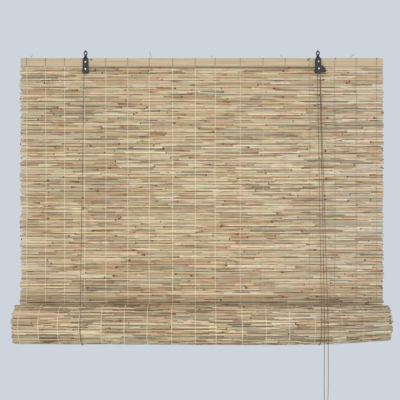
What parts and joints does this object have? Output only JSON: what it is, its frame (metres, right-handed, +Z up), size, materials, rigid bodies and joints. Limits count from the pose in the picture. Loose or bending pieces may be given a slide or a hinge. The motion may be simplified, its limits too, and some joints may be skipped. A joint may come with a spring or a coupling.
{
  "type": "reed roll up blind",
  "caption": "Reed roll up blind with a headrail lath, two pulley hangers, cord slings, a cord lock and pull cords, shown rolled part way up.",
  "frame": {"origin": "midway between the two hanger eyes, on the rear plane of the hangers", "axes": "+X to the right seen from the room, along the headrail; +Y away from the room, along the eyes' holes; +Z up"},
  "size_m": [1.2, 0.1487, 1.2328],
  "materials": {
    "reed": "satin",
    "lath_wood": "satin",
    "cotton": "matte",
    "cord": "matte",
    "black_steel": "satin",
    "zinc_steel": "brushed",
    "brass": "satin"
  },
  "bodies": {
    "frame": {"headrail": "lath_wood", "hanging_mat": "reed", "hanging_warps": "cotton", "left_hanger_rear_plate": "black_steel", "left_hanger_front_plate": "black_steel", "right_hanger_rear_plate": "black_steel", "right_hanger_front_plate": "black_steel", "left_mount_screw": "zinc_steel", "right_mount_screw": "zinc_steel", "left_sheave_pin": "zinc_steel", "right_sheave_pin": "zinc_steel", "lock_pivot_pin": "zinc_steel", "lock_stop_pin": "zinc_steel", "left_stop_knot": "cord", "right_stop_knot": "cord", "left_cord_front": "cord", "right_cord_front": "cord", "left_cord_rear": "cord", "right_cord_rear": "cord", "crossing_cord": "cord", "right_cord_over_sheave": "cord", "left_pull_cord_upper": "cord", "right_pull_cord_upper": "cord"},
    "slings": {"left_sling": "cord", "right_sling": "cord"},
    "roll": {"rolled_mat": "reed", "roll_warps": "cotton", "bottom_lath": "lath_wood"},
    "left_pulley": {"left_sheave": "brass"},
    "right_rear_pulley": {"right_rear_sheave": "brass"},
    "right_front_pulley": {"right_front_sheave": "brass"},
    "cord_lock": {"cord_lock_lever": "black_steel"},
    "pull_end": {"pull_knot": "cord", "left_pull_cord_lower": "cord", "right_pull_cord_lower": "cord"}
  },
  "joints": [
    {"name": "lift", "type": "slide", "parent": "frame", "child": "slings", "axis": [0, 0, 1], "range_m": [0, 0.72], "deforming": ["hanging_mat", "hanging_warps", "left_cord_front", "right_cord_front", "left_cord_rear", "right_cord_rear", "left_pull_cord_upper", "right_pull_cord_upper"]},
    {"name": "roll_turn", "type": "hinge", "parent": "slings", "child": "roll", "pos_m": [0, -0.06331, -0.8864], "axis": [1, 0, 0], "range_deg": [-610, 0]},
    {"name": "pull_slide", "type": "slide", "parent": "slings", "child": "pull_end", "axis": [0, 0, -1], "range_m": [0, 2.16], "deforming": ["left_pull_cord_lower", "right_pull_cord_lower"]},
    {"name": "left_pulley_turn", "type": "hinge", "parent": "frame", "child": "left_pulley", "pos_m": [-0.384, -0.0035, -0.0523], "axis": [0, 1, 0], "continuous": true},
    {"name": "right_rear_pulley_turn", "type": "hinge", "parent": "frame", "child": "right_rear_pulley", "pos_m": [0.386, -0.0049, -0.0523], "axis": [0, 1, 0], "continuous": true},
    {"name": "right_front_pulley_turn", "type": "hinge", "parent": "frame", "child": "right_front_pulley", "pos_m": [0.386, -0.0093, -0.0523], "axis": [0, 1, 0], "continuous": true},
    {"name": "cord_lock_turn", "type": "hinge", "parent": "frame", "child": "cord_lock", "pos_m": [0.3943, -0.008, -0.0465], "axis": [0, -1, 0], "range_deg": [0, 40]}
  ],
  "couplings": [
    {"joint": "roll_turn", "follows": "lift", "rad_per_m": -14.749},
    {"joint": "pull_slide", "follows": "lift", "ratio": 3},
    {"joint": "left_pulley_turn", "follows": "lift", "rad_per_m": 430.11},
    {"joint": "right_rear_pulley_turn", "follows": "lift", "rad_per_m": 430.11},
    {"joint": "right_front_pulley_turn", "follows": "lift", "rad_per_m": 430.11}
  ]
}
